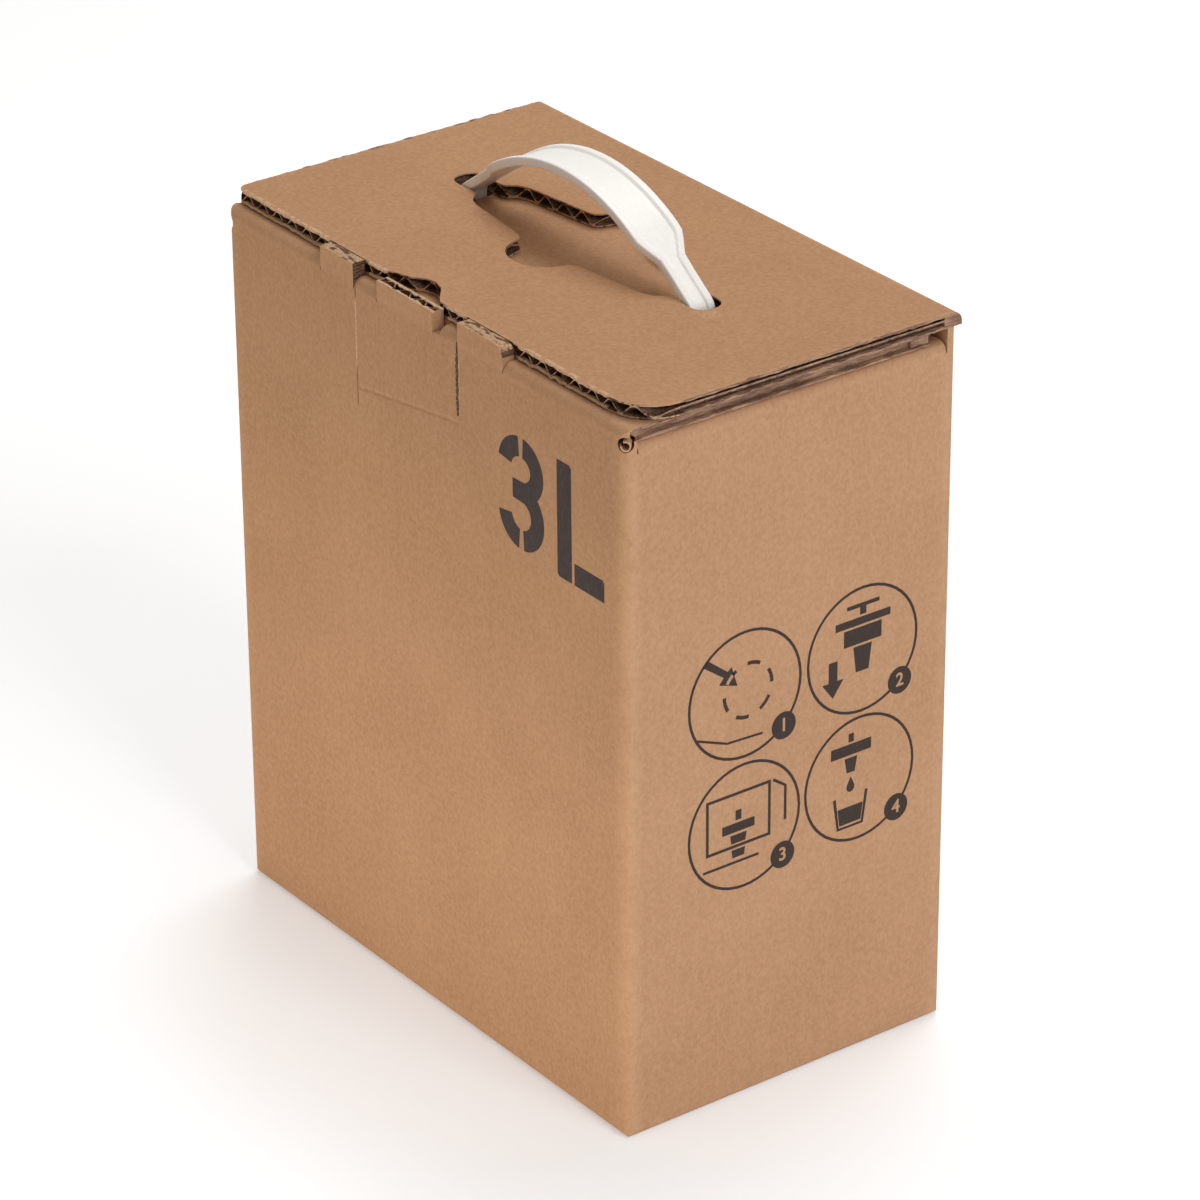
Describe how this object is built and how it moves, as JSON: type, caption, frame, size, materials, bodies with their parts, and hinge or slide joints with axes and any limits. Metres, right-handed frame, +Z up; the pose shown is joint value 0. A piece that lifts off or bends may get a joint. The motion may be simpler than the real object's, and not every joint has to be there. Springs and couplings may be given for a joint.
{
  "type": "bag in box carton",
  "caption": "Upright corrugated carton for a liquid bag, closed by a back-hinged lid whose wavy opening lets a white strap handle stand through it.",
  "frame": {"origin": "middle of the base, on the surface the carton stands on", "axes": "+Z up; X along the wide walls; Y along the narrow walls, with the front fold at -Y and the lid's hinge at +Y"},
  "size_m": [0.187, 0.111, 0.2411],
  "materials": {
    "kraft_board": "matte",
    "white_plastic": "satin"
  },
  "bodies": {
    "carton": {"carton_body": "kraft_board", "handle": "white_plastic"},
    "lid": {"lid": "kraft_board"}
  },
  "joints": [
    {"name": "lid_hinge", "type": "hinge", "parent": "carton", "child": "lid", "pos_m": [0, 0.0555, 0.2181], "axis": [-1, 0, 0], "range_deg": [0, 240]}
  ]
}
